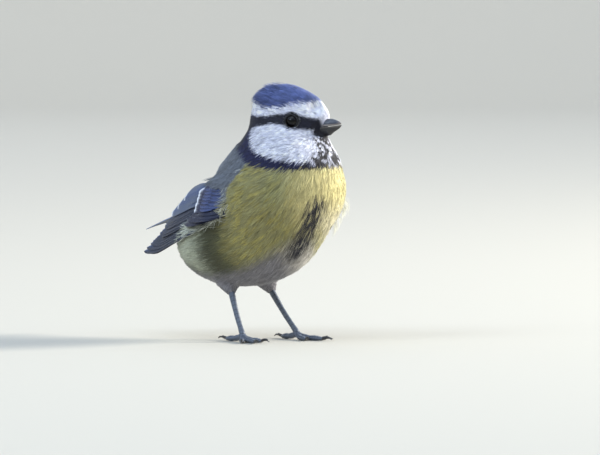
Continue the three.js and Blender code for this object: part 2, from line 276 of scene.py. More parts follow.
studio_dish()
area_light("sun_right", (1650, -400, 620), 0.55, 58, (1.0, 0.965, 0.88))
area_light("sky_top", (-300, 500, 1900), 1.6, 8, (0.8, 0.9, 1.0))
area_light("sky_left", (-1250, 1150, 1350), 1.0, 15, (0.72, 0.85, 1.0))
area_light("backdrop", (0, -2300, 1900), 2.2, 19, (0.95, 0.97, 1.0), VIEW_TARGET - VIEW_OUT * 3200)
world = bpy.data.worlds.new("studio")
world.use_nodes = True
world.node_tree.nodes["Background"].inputs["Color"].default_value = (0.66, 0.79, 1.0, 1)
world.node_tree.nodes["Background"].inputs["Strength"].default_value = 0.86
bpy.context.scene.world = world

# %% [markdown]
# The markings are told once, as a function of a place on the bird, and both the skin and every tuft ask it
# for their colour. Borders are soft steps between two measures, such as the height above the eyestripe, so
# the cap, the cheek, the collar, the bib and the belly stripe keep their true sizes in millimetres.


# %% Markings
def step(value, low, high):
    """0 below low, 1 above high, smooth between."""
    t = np.clip((value - low) / (high - low), 0, 1)
    return t * t * (3 - 2 * t)


def fade(value, low, high):
    """1 below low, 0 above high."""
    return 1 - step(value, low, high)


def course(value, stops, levels):
    """Straight runs between levels, which are reached at stops."""
    return np.interp(value, stops, levels)


def paint(colour, over, share):
    return colour * (1 - share[:, None]) + over * share[:, None]


def palette(**colours):
    return {name: linear(colour) for name, colour in colours.items()}


COAT = palette(
    breast="#969367",
    yellow="#b3a656",
    breast_side="#8d926a",
    # Painted highlight: pale yellow where the low sun from the front left falls on the breast.
    breast_bright="#e3d698",
    # Lower flank: its own olive, made darker still by painted shade where the body turns under.
    flank="#4a4c36",
    rear="#c2c8b2",
    belly="#86848a",
    # Painted highlight on the lower belly's sunlit front left.
    belly_pale="#ebe4d8",
    # Painted highlight: near white where the sun rims the upper breast's front left.
    cream="#f2e8c6",
    stripe="#34333b",
    stripe_edge="#6b655f",
    mantle="#6d7480",
    rump="#78836e",
    vent="#c9c8b0",
    white="#e4e6f8",
    cap="#58679f",
    # Painted highlight where the low sun catches the front of the cap.
    cap_front="#8f9bc6",
    cap_edge="#2f3763",
    eyestripe="#17182a",
    collar="#20234a",
    bib="#201e25",
    fringe="#e6ebe2",
)


def painted(rgb, layers):
    """Paints the named coat colours over rgb one after the other, each by its share."""
    for name, share in layers:
        rgb = paint(rgb, COAT[name], share)
    return rgb


def markings(places, wobble=0, streak=0.5):
    """Linear colours at places in the bird's frame. wobble moves each border by that many millimetres, and
    streak, from 0 to 1, picks light or dark where the plumage is streaked."""
    x, y, z = places.T
    side = np.abs(y)
    light = np.broadcast_to(np.asarray(streak, float), len(places))
    rgb = np.tile(COAT["breast"], (len(places), 1))
    upper_side = step(side, 8, 15) * fade(12 + 0.3 * z - x, -8, 4) * step(z, 42, 50)
    # The lower flank is painted darker than its olive: partly its own colour, partly painted shade.
    flank = step(14 - x + wobble, 0, 14) * step(side, 4, 11) * fade(z + 0.4 * x, 39, 54)
    breast = [
        ("yellow", 0.75 * step(light, 0.45, 0.95)),
        ("breast_side", upper_side),
        # Painted highlight on the breast's front, stronger on the left, where the sun falls.
        ("breast_bright", step(x - 0.2 * side + 0.25 * y + wobble, 22, 34) * step(z, 26, 38)),
        ("flank", flank),
        ("rear", step(-1 - x + 2 * wobble, 0, 12) * step(z + 0.3 * x, 14, 23)),
    ]
    rgb = painted(rgb, breast)
    centre = course(z, [16, 25, 34, 44], [17, 12.5, 7, 1])
    low = step(centre - side + 2 * wobble, -1.5, 5) * fade(z + 0.2 * x, 29, 43)
    rgb = paint(rgb, COAT["belly"] * (0.78 + 0.5 * light)[..., None], low)
    line = course(z, [25, 29, 36, 44, 48], [1.2, 2.6, 3.0, 2.6, 0.9])
    run = step(z + 2 * wobble, 25.5, 28.5) * fade(z + 3 * wobble, 44, 48) * step(x, 8, 12)
    dusky = fade(side + 2.5 * wobble, line, line + 2.4) * run
    dark = fade(side + 2.2 * wobble, line - 0.6, line + 0.6) * run
    # The mantle meets the breast along a line that runs down from the collar to the wing's lower edge.
    border = course(z, [36, 40, 43, 46, 50, 55, 62], [-10, -1, 7, 11, 12, 16, 19])
    lowest = course(x, [-40, -20, -5, 8], [38, 36, 38, 39])
    back = step(border - x + wobble, -0.8, 0.8) * step(z - lowest, -1, 1)
    belly_and_back = [
        # Painted highlight: the lower belly is lighter towards the front left, where the sun falls.
        ("belly_pale", 0.8 * low * step(x + y + 3 * wobble, 12, 26) * fade(z, 34, 44)),
        ("vent", step(-16 - x, 0, 8) * fade(side, 5, 10) * fade(z, 38, 42)),
        # Painted highlight where the low sun rims the upper breast on its front left.
        ("cream", 0.85 * step(x + 0.8 * y + 2 * wobble, 27, 36) * fade(z, 37, 49)),
        ("stripe_edge", 0.7 * dusky * step(light, 0.2, 0.4)),
        ("stripe", dark * step(light, 0.12, 0.42)),
        ("mantle", back),
        ("rump", back * step(-12 - x, 0, 6) * fade(side, 7, 11)),
    ]
    rgb = painted(rgb, belly_and_back)
    return head_markings(rgb, places, wobble, light)


def round_head(hx, side):
    """Degrees round the head from the bill, 0, to the nape, 180."""
    return np.degrees(np.arctan2(side, hx + 2))


def head_markings(rgb, places, wobble, light):
    hx, hy, hz = to_head(places).T
    side = np.abs(hy)
    bearing = round_head(hx, side)
    # The collar's lower edge and the cheek's edge, as heights round the head.
    collar_edge = [-15.6, -15.8, -16.2, -15.4, -14.2, -13.2, -11.2, -7.4, -6.2]
    collar_low = course(bearing, [0, 30, 60, 75, 92, 104, 117, 150, 180], collar_edge)
    cheek_edge = [-16, -14.8, -13.8, -12.2, -10, -6.8, -3.4, -1]
    cheek_low = course(bearing, [0, 30, 50, 75, 95, 115, 132, 142], cheek_edge)
    brow_low = course(bearing, [100, 150, 180], [1, 2.6, 3.4])
    rgb = paint(rgb, COAT["collar"], step(hz - collar_low + wobble, -0.5, 0.5))
    # Whites are painted a little lighter above the eye's level than on the cheek: painted light on the
    # head's top, painted shade on the cheek.
    pale = COAT["white"] * ((0.84 + 0.24 * light) * (1 + 0.14 * step(hz, 0, 2)))[:, None]
    cheek = step(hz - cheek_low + wobble, -0.4, 0.4) * fade(bearing + 3 * wobble, 138, 142)
    rgb = paint(rgb, pale, cheek)
    rgb = paint(rgb, pale, step(hz + 0.8 * wobble - brow_low, -0.3, 0.5))
    # Chin, throat and bib are dark barbs among white ones, closest together at the chin and the lower edge.
    # The turn of the head pulls them a little to the right.
    bib_half = course(hz, [-17, -14, -11, -7, -4, -2.5], [11.4, 10.4, 7.4, 4.6, 3.4, 2.8])
    beside = np.abs(hy - course(hz, [-16, -9, -3], [-4.0, -2.6, -0.4]))
    bib = fade(beside + 1.6 * wobble, bib_half - 0.8, bib_half + 0.8) * step(hx, 0, 3) * fade(hz, -3, -2.4)
    sparse = course(hz, [-16, -13.5, -10, -6, -4], [0.1, 0.2, 0.42, 0.3, 0.1])
    sparse = sparse + 0.3 * step(beside - 0.5 * bib_half, 0, 0.5 * bib_half)
    bib = bib * step(hz - collar_low + wobble, -0.5, 0.3) * step(light - sparse, -0.12, 0.22)
    rgb = paint(rgb, COAT["bib"], bib)
    line = course(hx, [-14, -8, 0, 3.8, 9, 13], [-0.2, 0.5, 0.8, 0.2, -1.3, -1.8])
    thick = course(hx, [-14, -10, -4, 1.5, 3.8, 6, 10, 13], [2.6, 1.8, 1.35, 1.7, 2.8, 2.3, 1.8, 1.8])
    stripe = fade(np.abs(hz - line) + 0.8 * wobble, thick - 0.4, thick + 0.5) * fade(hx, 11.6, 13)
    nape = step(bearing, 136, 146) * fade(hz + wobble, 1.4, 2.4) * step(hz - collar_low + wobble, -0.5, 0.5)
    rgb = paint(rgb, COAT["eyestripe"], np.maximum(stripe, nape))
    cap_edge = [5.6, 5.5, 5.3, 4.6, 4.5, 4.8, 5.9, 7.2, 7.4]
    edge = course(bearing, [0, 25, 45, 65, 90, 125, 145, 165, 180], cap_edge)
    cap = step(hz - edge + 1.2 * wobble, -0.5, 0.5) * fade(hx + 0.9 * wobble + 0.5 * light, 11, 12.4)
    rim = fade(hz - edge, 0.4, 3.6)
    blue = COAT["cap"] * (1 - 0.5 * rim)[:, None] + COAT["cap_edge"] * (0.45 * rim)[:, None]
    # The cap's front is painted lighter: painted highlight where the sun catches it.
    blue = paint(blue, COAT["cap_front"], step(hx + 2 * wobble, 6, 12) * (0.15 + 0.4 * light))
    return paint(rgb, blue, cap)


print("markings are told for", len(COAT), "colours")

# %% [markdown]
# The flesh came as separate solids with thin cuts between them. Their copies are joined, swelled until the
# cuts close, wrapped again in one even mesh, smoothed, and drawn in by the depth of the coat, so the tufts'
# tips end where the solids did.


# %% Skin
def copies(name, nodes):
    """Merged copies of CAD nodes, joined into one new object."""
    made = []
    for n in nodes:
        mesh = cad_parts[n].data.copy()
        mesh.materials.clear()
        made.append(add_object(n + "_copy", mesh))
    only(*made)
    if len(made) > 1:
        bpy.ops.object.join()
    joined = bpy.context.object
    joined.name = joined.data.name = name
    edit_all(bpy.ops.mesh.remove_doubles, threshold=1e-6)
    return joined


def wrap(obj, voxel, rounds, swell=0.0):
    """Wraps obj in one even closed mesh and smooths it."""
    only(obj)
    if swell:
        edit_all(bpy.ops.transform.shrink_fatten, value=swell * MM)
    remesh = obj.modifiers.new("wrap", "REMESH")
    remesh.mode = "VOXEL"
    remesh.voxel_size = voxel * MM
    bpy.ops.object.modifier_apply(modifier=remesh.name)
    smooth = obj.modifiers.new("smooth", "SMOOTH")
    smooth.factor, smooth.iterations = 0.5, rounds
    bpy.ops.object.modifier_apply(modifier=smooth.name)
    bpy.ops.object.shade_smooth()
    return obj


BILL_BASE = from_head([[12.4, 0, -2.4]])[0]


def headness(places):
    """1 on the head, 0 on the body, changing over the collar."""
    return step((places - [16, 1.5, 61]) @ [0.24, 0.06, 0.97], -3, 3)


def coat_depth(places):
    """How far the skin lies below the solids, in millimetres; the feathers fill the rest."""
    head = headness(places)
    face = fade(lengths(places - BILL_BASE), 3, 9)
    body = course(places[:, 2], [16, 24, 40, 56], [1.3, 1.3, 1.1, 0.8])
    leg = course(places[:, 2], [14, 15.5, 17, 19], [0.85, 0.9, 1.0, 1.3])
    body = np.where(places[:, 2] < 19, leg, body)
    gape = lengths(np.abs(to_head(places)) - [10.6, 2.7, 3.6])
    return body * (1 - head) + head * (0.6 - 0.35 * face + 1.5 * fade(gape, 1.0, 3.4))


FLESH = ["torso", "neck", "head", "thigh_left", "thigh_right"]
HEEL, ANKLE = np.array([-3.6, 7.9, 15.2]), np.array([6.4, 10.6, 2.6])


def with_heels(flesh):
    """The solids' thighs are hollow where the shank enters; a ball at each heel closes them."""
    balls = []
    for sign in (1, -1):
        spot = metres(HEEL * [1, sign, 1] + [0, 0, 0.5])
        bpy.ops.object.select_all(action="DESELECT")
        bpy.ops.mesh.primitive_uv_sphere_add(segments=20, ring_count=12, radius=1.6 * MM, location=spot)
        bpy.ops.object.transform_apply(location=True)
        balls.append(bpy.context.object)
    only(flesh, *balls)
    bpy.ops.object.join()
    return flesh


skin = wrap(with_heels(copies("skin", FLESH)), 0.6, 10, swell=0.25)
places, normals = vertex_arrays(skin)
places = places - normals * (coat_depth(places) + 0.2)[:, None]
skin.data.vertices.foreach_set("co", metres(places).ravel())
skin.data.update()
print("skin:", len(skin.data.polygons), "faces")


# %% Skin colours and its unwrap
SKIN_SHADE = 0.8  # little light comes down between the tufts
set_colours(skin.data, markings(places) * SKIN_SHADE)
only(skin)
edit_all(bpy.ops.uv.smart_project, angle_limit=math.radians(66), island_margin=0.01)
skin.data.uv_layers[0].name = "OFBake"


def plumage_material(name, roughness, bump_strength):
    """Keratin barbs: matt, with a soft sheen at grazing angles where light catches their edges."""
    material, tree, shader = painted_material(
        name, Roughness=roughness, IOR=1.55, Sheen_Weight=0.35, Sheen_Roughness=0.4, Specular_IOR_Level=0.35
    )
    if bump_strength:
        # Barbs are a tenth of a millimetre apart; at 0.4 mm they are as coarse as they need to be to show.
        barbs = {"Scale": 2500, "Detail": 4}
        grain(tree, shader, "ShaderNodeTexNoise", "Fac", barbs, bump_strength, 0.0002)
    return material


skin.data.materials.append(plumage_material("down_over_skin", 0.85, 0.5))
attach(skin, "root")
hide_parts(*FLESH)

# %% [markdown]
# Small feathers overlap like tiles and all lie one way: back from the bill over the head, down from the
# throat over the breast, and back along the flanks to the tail. Each tuft here is a closed, three-sided
# blade that starts in the skin, lifts a little and bends back along it. Neighbouring blades lean to a
# common tip, which gives the soft points that separate feathers make.


# %% Where tufts grow and which way they lie
def skin_triangles():
    mesh = skin.data
    mesh.calc_loop_triangles()
    count = len(mesh.loop_triangles)
    corners, loops = np.empty(count * 3, int), np.empty(count * 3, int)
    mesh.loop_triangles.foreach_get("vertices", corners)
    mesh.loop_triangles.foreach_get("loops", loops)
    uvs = np.empty(len(mesh.loops) * 2)
    mesh.uv_layers["OFBake"].data.foreach_get("uv", uvs)
    return corners.reshape(-1, 3), uvs.reshape(-1, 2)[loops.reshape(-1, 3)]


skin_places, skin_normals = vertex_arrays(skin)
skin_corners, skin_uvs = skin_triangles()
skin_tree = BVHTree.FromPolygons([Vector(p) for p in skin_places], skin_corners.tolist())

WING_X = [-56, -40, -25, -10, 2, 14]
WING_OUT = [7.2, 9.2, 13.2, 16.6, 18, 16.6]
WING_MIDDLE = [28, 33, 39.5, 44, 46.5, 48]
WING_LEAN = 0.42


def wing_cover(places):
    """How deep inside the folded wing's outline a place lies, in millimetres, negative outside."""
    x, y, z = places.T
    lower = course(x, [-54, -46, -25, -10, 0, 6, 9], [27.5, 28, 34, 38.5, 39.6, 41.5, 46])
    upper = course(x, [-54, -40, -25, -10, 0, 9, 12], [29, 35.5, 44, 48, 50, 51.5, 50])
    depth = np.minimum(np.minimum(z - lower, upper - z), np.minimum(11 - x, x + 50))
    beside = np.abs(y) > course(x, [-40, -20, 0, 14], [5, 8, 9.5, 12])
    return np.where(beside, depth, -9)


def scatter(count, density):
    """Random roots on the skin: place, normal and place on the unwrap. density weighs each triangle."""
    a, b, c = (skin_places[skin_corners[:, i]] for i in range(3))
    area = lengths(np.cross(b - a, c - a)) / 2
    weight = area * density((a + b + c) / 3)
    pick = rng.choice(len(area), count, p=weight / weight.sum())
    u, v = rng.random(count), rng.random(count)
    over = u + v > 1
    u[over], v[over] = 1 - u[over], 1 - v[over]
    shares = np.column_stack([1 - u - v, u, v])
    at = (skin_places[skin_corners[pick]] * shares[:, :, None]).sum(1)
    out = (skin_normals[skin_corners[pick]] * shares[:, :, None]).sum(1)
    uv = (skin_uvs[pick] * shares[:, :, None]).sum(1)
    return at, out / lengths(out)[:, None], uv


def lie(places, normals):
    """The way the plumage lies, along the skin."""
    head = headness(places)[:, None]
    from_bill = unit(places - BILL_BASE) + 0.35 * unit(-HEAD_AXES[:, 0])
    side = step(np.abs(places[:, 1]), 6, 16)[:, None]
    tail_end = np.array([-38.0, 0, 34]) + (places[:, 1] * 0.45)[:, None] * [0, 1, 0]
    from_neck = unit(places - (HEAD_CENTRE - [0, 0, 4]))
    body = (1.1 - 0.6 * side) * from_neck + (0.75 + 0.5 * side) * unit(tail_end - places)
    leg = fade(places[:, 2], 16.5, 20)[:, None]
    body = body * (1 - leg) + leg * unit(ANKLE - HEEL)
    flow = from_bill * head + body * (1 - head)
    flow = flow - normals * (flow * normals).sum(1)[:, None]
    return unit(flow)


# %% Tufts as joined blades
def on_surface(points, tree):
    """Nearest places on the surface a tree holds, and its outward directions there."""
    flat = points.reshape(-1, 3)
    places, normals = np.empty_like(flat), np.empty_like(flat)
    for i, point in enumerate(flat):
        place, normal, _, _ = tree.find_nearest(Vector(point))
        places[i], normals[i] = place, normal
    return places.reshape(points.shape), normals.reshape(points.shape)


ROUNDNESS = 0.55  # how much of a strand's own roundness the light sees; the rest is the coat's
PATCH = 0.003  # the side of a tuft's patch on the unwrap


def blades(name, rings, tips, widths, sides, ups, outs, rgb, uvs):
    """Closed three-sided blades of rings (blade, station, 3) and tips (blade, 3)."""
    count, stations = rings.shape[:2]
    half = (widths * 0.5)[..., None] * sides
    rise = (BLADE_HEIGHT * widths)[..., None] * ups
    points = np.stack([rings - half, rings + half, rings + rise], axis=2).reshape(count, -1, 3)
    points = np.concatenate([points, tips[:, None]], axis=1)
    per = points.shape[1]
    quads, triangles = [], [[0, 1, 2]]
    for s in range(stations - 1):
        for k in range(3):
            a, b = 3 * s + k, 3 * s + (k + 1) % 3
            quads.append([a, a + 3, b + 3, b])
    last = 3 * (stations - 1)
    triangles += [[last + (k + 1) % 3, last + k, per - 1] for k in range(3)]
    loops = np.array([i for face in quads + triangles for i in face])
    sizes = np.array([4] * len(quads) + [3] * len(triangles))
    all_loops = (loops[None] + (np.arange(count) * per)[:, None]).ravel()
    all_sizes = np.tile(sizes, count)
    mesh = bpy.data.meshes.new(name)
    mesh.vertices.add(count * per)
    mesh.vertices.foreach_set("co", metres(points.reshape(-1, 3)).ravel())
    mesh.loops.add(len(all_loops))
    mesh.loops.foreach_set("vertex_index", all_loops)
    mesh.polygons.add(len(all_sizes))
    mesh.polygons.foreach_set("loop_start", np.concatenate([[0], np.cumsum(all_sizes)[:-1]]))
    mesh.polygons.foreach_set("use_smooth", np.ones(len(all_sizes), bool))
    mesh.update(calc_edges=True)
    station = np.append(np.repeat(np.arange(stations), 3), stations)
    set_colours(mesh, rgb[:, station].reshape(-1, 3))
    edges = ROUNDNESS * sides
    facing = np.stack([outs - edges, outs + edges, outs * (1 - ROUNDNESS) + ups * ROUNDNESS], axis=2)
    facing = np.concatenate([facing.reshape(count, -1, 3), outs[:, -1:]], axis=1)
    mesh.normals_split_custom_set_from_vertices(unit(facing.reshape(-1, 3)))
    corner = np.append(np.tile([0, 1, 0.5], stations), 0.5)
    patch = np.column_stack([corner, station / stations])[loops] * PATCH
    layer = mesh.uv_layers.new(name="OFBake")
    layer.data.foreach_set("uv", (uvs[:, None] + patch[None] - PATCH / 2).ravel())
    return add_object(name, mesh)


# %% Growing a coat
coat_material = plumage_material("contour_feathers", 0.7, 0)
MOST_TRIANGLES = 190000  # in one piece
ROOT_DEPTH = 0.12  # how far a root is sunk in the skin, in millimetres
OVER_WING = 1.6  # how far above its root a tuft looks for the surface that it lies on
BLADE_HEIGHT = 0.45  # of its width
BLADE_WIDTHS = ([0, 0.4, 0.8, 1], [0.8, 1, 0.75, 0.4])
BLADE_SHADES = ([0, 0.5, 1], [0.72, 0.97, 1.06])  # darker between the roots, where little light comes


def feather_groups(at, tufts_each):
    """Picks leaders among the tufts, and gives each tuft the number of the nearest."""
    count = len(at)
    leaders = rng.permutation(count)[: max(8, int(count / tufts_each))]
    tree = KDTree(len(leaders))
    for i, leader in enumerate(leaders):
        tree.insert(Vector(at[leader]), i)
    tree.balance()
    return leaders, np.array([tree.find(Vector(p))[1] for p in at])


def surface_under(path, out, over_wing):
    """Where each path lies. Over the wing it is smoothed, because the feathers there are steps."""
    if over_wing is None:
        return on_surface(path, skin_tree)
    under, over = on_surface(path + out[:, None] * OVER_WING, over_wing)
    for _ in range(6):
        under[:, 1:-1] = (under[:, :-2] + 2 * under[:, 1:-1] + under[:, 2:]) / 4
        over[:, 1:-1] = unit(over[:, :-2] + over[:, 1:-1] + over[:, 2:])
    return under, over


def grow(
    name, roots, length, width, lift, clump, tufts_each, stations,
    curl=0.0, fan=7.0, tone=0.1, over_wing=None, tint=None,
):
    """Grows tufts on roots (place, normal, unwrap place); length, width and lift, in degrees, are arrays.

    Tufts come in feathers of tufts_each, whose tips clump draws together. fan turns them, curl bends them
    and tone varies their lightness. With a tree in over_wing they lie over the wing's feathers too, and tint
    is a colour with its shares.
    """
    at, out, uv = roots
    count = len(at)
    way = lie(at, out)
    leaders, group = feather_groups(at, tufts_each)
    swing = rng.normal(0, fan, len(leaders))[group] + rng.normal(0, fan * 0.5, count)
    swing = np.radians(swing)[:, None]
    way = unit(way * np.cos(swing) + np.cross(out, way) * np.sin(swing))
    lift = np.radians(lift * (0.75 + 0.5 * rng.random(len(leaders))[group]) + rng.normal(0, 2.5, count))
    length = length * (0.85 + 0.3 * rng.random(count))
    heart = at[leaders][group]
    heart_tip = heart + way * length[:, None] * 1.02
    along = np.linspace(0, 1, stations + 1)
    share = along[None, :, None]
    run = way[:, None] * (length * np.cos(lift))[:, None, None] * share
    bend = np.cross(out, way)[:, None] * (curl * length * rng.normal(0, 1, count))[:, None, None] * share**2
    path = at[:, None] + run + bend
    path = path + (heart_tip[:, None] - path[:, -1:]) * clump * share**2
    under, over = surface_under(path, out, over_wing)
    rise = np.sin(lift)[:, None, None] * length[:, None, None] * (share - 0.45 * share**2.2)
    path = under + over * (rise - ROOT_DEPTH * (1 - share))
    heading = unit(np.gradient(path, axis=1))
    sides = unit(np.cross(heading, over))
    ups = np.cross(sides, heading)
    widths = width[:, None] * np.interp(along[:-1], *BLADE_WIDTHS)[None]
    streak = np.clip(rng.random(len(leaders))[group] * 0.75 + rng.random(count) * 0.25, 0, 1)
    wobble = rng.normal(0, 0.35, count)
    rgb = markings(path[:, -1] * 0.6 + at * 0.4, wobble, streak)
    if tint is not None:
        rgb = paint(rgb, *tint)
    tones = rng.normal(1, tone, len(leaders))[group] * rng.normal(1, tone, count)
    shades = np.interp(along, *BLADE_SHADES)
    rgb = np.clip(rgb[:, None] * shades[None, :, None] * tones[:, None, None], 0, 1)
    triangles = count * (6 * (stations - 1) + 4)
    parts = np.array_split(np.arange(count), math.ceil(triangles / MOST_TRIANGLES))
    for number, chosen in enumerate(parts, 1):
        piece = blades(
            f"{name}_{number}",
            path[chosen, :-1],
            path[chosen, -1],
            widths[chosen],
            sides[chosen, :-1],
            ups[chosen, :-1],
            over[chosen, :-1],
            rgb[chosen],
            uv[chosen],
        )
        piece.data.materials.append(coat_material)
        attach(piece, "root")
    print(name, count, "tufts,", triangles, "triangles in", len(parts), "pieces")


# %% Coat of the head
def head_density(places):
    spots = to_head(places)
    eye_gap = np.minimum(*[lengths(spots - EYE_IN_HEAD * [1, sign, 1]) for sign in (1, -1)])
    face = 1 + 1.4 * fade(lengths(places - BILL_BASE), 4, 12)
    at_bill = lengths((spots - [12.4, 0, -3.1]) / [1.25, 1, 1])
    bare = step(eye_gap, 2.35, 2.6) * step(at_bill, 3.0, 3.4)
    return headness(places) ** 2 * face * bare


roots = scatter(31000, head_density)
spots = to_head(roots[0])
from_bill = lengths(roots[0] - BILL_BASE)
length = course(from_bill, [2, 5, 9, 14, 20], [0.9, 1.3, 1.9, 2.5, 3.0])
crest = step(spots[:, 2], 4.5, 7.5) * step(-spots[:, 0], 3, 9)
near_eye = lengths(np.abs(spots) - np.abs(EYE_IN_HEAD))
length = length * (1 + 0.25 * crest) * (1 - 0.45 * fade(near_eye, 2.4, 4.5))
width = course(from_bill, [2, 6, 14], [0.12, 0.15, 0.2])
lift = 10 + 12 * crest + 5 * step(-spots[:, 2], 6, 12)
grow("coat_head", roots, length, width, lift, 0.4, 14, 2, fan=5, tone=0.17)


def crest_density(places):
    """The cap's rear edge, where a few long feathers stand up."""
    hx, hy, hz = to_head(places).T
    edge = course(round_head(hx, np.abs(hy)), [90, 125, 145, 180], [4.7, 5.0, 6.0, 7.4])
    return step(hz - edge, 0.5, 2.5) * step(-hx, 0, 6) * fade(hz, 10.5, 12) * headness(places)


roots = scatter(2600, crest_density)
count = len(roots[0])
stand = rng.uniform(18, 42, count)
length = rng.uniform(2.8, 5.4, count)
grow("coat_crest", roots, length, np.full(count, 0.12), stand, 0.7, 8, 3, fan=10, tone=0.2)


# %% [markdown]
# A flight feather is a stiff shaft with a vane on each side, narrow towards the wing's leading edge and
# broad behind. One grid of points gives the upper face, sunk copies give the lower one, and an edge closes
# them. The rows run from the longest feathers to the small coverts, and each row lies over the roots of the
# one before.


# %% One feather shape for wings and tail
ALONG = np.array([0, 0.08, 0.2, 0.34, 0.48, 0.62, 0.74, 0.84, 0.91, 0.96, 0.99, 1.0])
ACROSS = np.array([-1, -0.72, -0.4, -0.08, 0.0, 0.08, 0.4, 0.72, 1])


# How wide a vane is along its shaft, as shares of its width.
VANE_WIDTHS = {
    "flight": ([0, 0.12, 0.3, 0.7, 0.86, 0.94, 0.985, 1], [0.3, 0.62, 0.9, 1, 0.84, 0.58, 0.28, 0.08]),
    "covert": ([0, 0.2, 0.5, 0.75, 0.9, 0.97, 1], [0.45, 0.8, 1, 0.98, 0.76, 0.45, 0.15]),
}
CAMBER = 0.1  # how far the vane's edges droop, as a share of its width
VANE_THICK = 0.16  # at the shaft, in millimetres
SHAFT_HEIGHT = 0.12  # above the vane, in millimetres
UNDERSIDE = 0.7  # how light a feather's lower face is beside its upper one


def vane_grid(path, normal, widths, shaft):
    """Upper and lower faces of one feather. shaft is how far the shaft sits from the middle, -1 to 1."""
    along = unit(np.gradient(path, axis=0))
    sides = unit(np.cross(along, normal))
    ups = np.cross(sides, along)
    across = np.where(ACROSS < 0, ACROSS * (1 + shaft), ACROSS * (1 - shaft))
    ridge = SHAFT_HEIGHT * np.exp(-((ACROSS / 0.07) ** 2)) * np.linspace(1, 0.35, len(path))[:, None]
    arch = ridge - CAMBER * widths[:, None] * ACROSS[None] ** 2
    edge = VANE_THICK * (1 - 0.6 * ACROSS[None] ** 2)
    reach = widths[:, None] * across[None]
    upper = path[:, None] + sides[:, None] * reach[..., None] + ups[:, None] * arch[..., None]
    lower = upper - ups[:, None] * np.broadcast_to(edge[..., None], reach.shape + (1,))
    return upper, lower


def vane_faces():
    rows, columns = len(ALONG), len(ACROSS)
    top = np.arange(rows * columns).reshape(rows, columns)
    under = top + rows * columns
    faces = []
    for i in range(rows - 1):
        for k in range(columns - 1):
            faces.append([top[i, k], top[i, k + 1], top[i + 1, k + 1], top[i + 1, k]])
            faces.append([under[i, k], under[i + 1, k], under[i + 1, k + 1], under[i, k + 1]])
        faces.append([top[i, 0], top[i + 1, 0], under[i + 1, 0], under[i, 0]])
        faces.append([top[i + 1, -1], top[i, -1], under[i, -1], under[i + 1, -1]])
    for k in range(columns - 1):
        faces.append([top[0, k + 1], top[0, k], under[0, k], under[0, k + 1]])
        faces.append([top[-1, k], top[-1, k + 1], under[-1, k + 1], under[-1, k]])
    return np.array(faces)


def feathers(name, vanes, material, replaces=()):
    """Joins feathers into one piece, each closed. A feather is a dictionary of path, normal, width, shaft,
    kind, colour, and outer, 1 or -1, which tells on what side its outer web lies."""
    faces, points, rgb, uv = vane_faces(), [], [], []
    s, a = np.meshgrid(ALONG, ACROSS, indexing="ij")
    for v in vanes:
        widths = v["width"] / 2 * np.interp(ALONG, *VANE_WIDTHS[v["kind"]])
        upper, lower = vane_grid(v["path"], v["normal"], widths, v["shaft"])
        points.append(np.concatenate([upper.reshape(-1, 3), lower.reshape(-1, 3)]))
        colour = v["colour"](s, a * v["outer"]).reshape(-1, 3)
        rgb.append(np.concatenate([colour, colour * UNDERSIDE]))
        shaft_length = np.linalg.norm(v["path"][-1] - v["path"][0])
        flat = np.column_stack([a.ravel() * v["width"] / 2, s.ravel() * shaft_length])
        uv.append(np.concatenate([flat, flat]))
    per = len(points[0])
    all_faces = np.concatenate([faces + i * per for i in range(len(vanes))])
    mesh = bpy.data.meshes.new(name)
    mesh.from_pydata(metres(np.concatenate(points)).tolist(), [], all_faces.tolist())
    mesh.update()
    set_colours(mesh, np.clip(np.concatenate(rgb), 0, 1))
    layer = mesh.uv_layers.new(name="vane")
    layer.data.foreach_set("uv", np.concatenate(uv)[all_faces.ravel()].ravel())
    obj = add_object(name, mesh)
    only(obj)
    edit_all(bpy.ops.mesh.normals_make_consistent, inside=False)
    bpy.ops.object.shade_smooth_by_angle(angle=math.radians(40))
    obj.data.materials.append(material)
    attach(obj, "root")
    if replaces:
        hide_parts(*replaces)
    print(name, len(vanes), "feathers,", len(all_faces) * 2, "triangles")
    return obj


BARB_GAP = 0.3  # coarser than true, so that the comb shows; the vane's map is in millimetres


def vane_material():
    """Stiff barbs hooked in a flat vane: silkier than body plumage, combed at an angle to the shaft."""
    finish = {"Roughness": 0.52, "IOR": 1.55, "Sheen_Weight": 0.08, "Sheen_Roughness": 0.3}
    material, tree, shader = new_material("flight_feathers", **finish, Specular_IOR_Level=0.4)

    def maths(operation, values=(), **links):
        return node(tree, "ShaderNodeMath", {"operation": operation, **dict(values)}, **links)

    colour = node(tree, "ShaderNodeVertexColor", {"layer_name": "plumage"})
    spot = node(tree, "ShaderNodeUVMap", {"uv_map": "vane"})
    split = node(tree, "ShaderNodeSeparateXYZ", Vector=(spot, "UV"))
    beside = maths("ABSOLUTE", _0=(split, "X"))
    slant = maths("MULTIPLY_ADD", {1: -0.8}, _0=(beside, "Value"), _2=(split, "Y"))
    barb = maths("MULTIPLY", {1: 2 * math.pi / BARB_GAP}, _0=(slant, "Value"))
    comb = maths("SINE", _0=(barb, "Value"))
    bump(tree, shader, (comb, "Value"), 0.35, 0.00006)
    shade = node(tree, "ShaderNodeMapRange", {1: -1.0, 2: 1.0, 3: 0.9, 4: 1.06}, _0=(comb, "Value"))
    tint = {"_0": (colour, "Color"), "Scale": (shade, "Result")}
    tinted = node(tree, "ShaderNodeVectorMath", {"operation": "SCALE"}, **tint)
    tree.links.new(tinted.outputs["Vector"], shader.inputs["Base Color"])
    return material


# %% Colours of the long feathers
WING = palette(
    dark="#262f45",
    flight="#43567f",
    steel="#8ba4d4",
    covert="#3f4f80",
    covert_dark="#252c4c",
    tip="#e6eaf4",
    tertial="#56627a",
    tail="#43506e",
)


def mix(a, b, share):
    return a * (1 - share[..., None]) + b * share[..., None]


